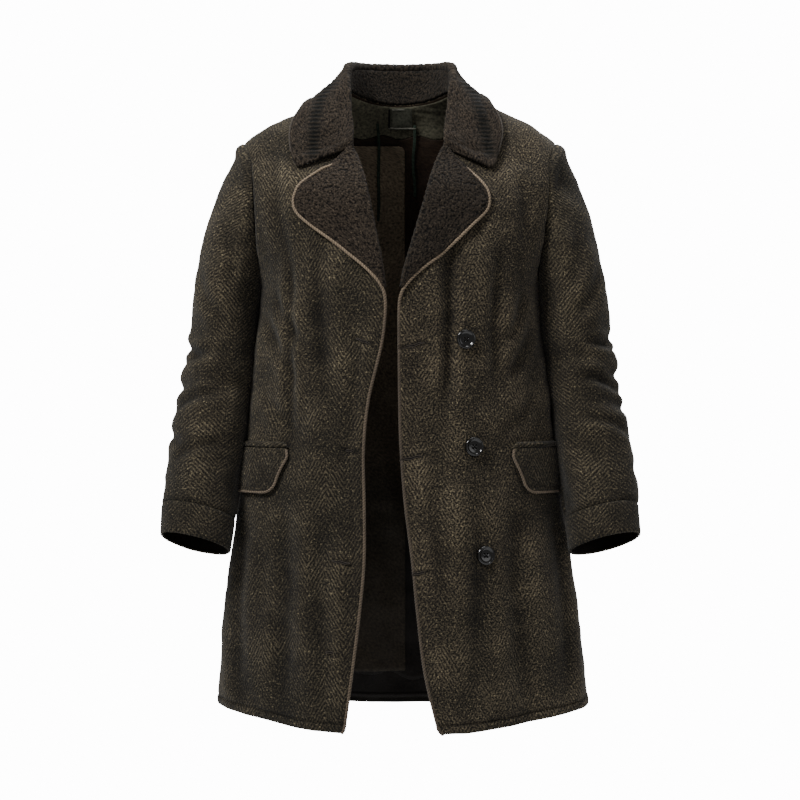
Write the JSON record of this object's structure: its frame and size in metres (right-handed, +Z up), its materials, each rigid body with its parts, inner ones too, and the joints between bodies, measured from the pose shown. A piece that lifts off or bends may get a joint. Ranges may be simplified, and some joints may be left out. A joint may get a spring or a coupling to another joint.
{
  "type": "overcoat",
  "caption": "Open knee-length overcoat in herringbone wool with a folded collar, wide lapels, corded edges, flap pockets and hollow sleeves, shaped as if worn.",
  "frame": {"origin": "middle of the neck opening at the height of the nape seam, where the wearer's neck and shoulders hold the coat", "axes": "+Z up, -Y out of the coat's front, +X towards the wearer's left"},
  "size_m": [0.7042, 0.3374, 0.9931],
  "materials": {
    "tweed": "olive-brown herringbone wool, napped and matt",
    "boiled_wool": "dark brown boiled wool with a short fuzz",
    "piping": "light brown corded piping",
    "button": "dark horn colour, polished",
    "facing": "dark green-brown twill, matt",
    "lining": "dark brown satin, low sheen",
    "label": "plain woven, blank",
    "tape": "dark green ribbon"
  },
  "bodies": {
    "root": {"back": "tweed", "front_right": "tweed", "front_left": "tweed", "sleeve_right": "tweed", "sleeve_left": "tweed", "cuff_right": "tweed", "cuff_left": "tweed", "flap_right": "tweed", "flap_left": "tweed", "welt_right": "tweed", "welt_left": "tweed", "collar": "boiled_wool", "lapel_right": "boiled_wool", "lapel_left": "boiled_wool", "piping_right": "piping", "piping_left": "piping", "piping_collar": "piping", "piping_flap_right": "piping", "piping_flap_left": "piping", "button_top": "button", "button_middle": "button", "button_low": "button", "yoke": "facing", "lining_back": "lining", "lining_panel": "lining", "label": "label", "tape_right": "tape", "tape_left": "tape"}
  },
  "joints": []
}
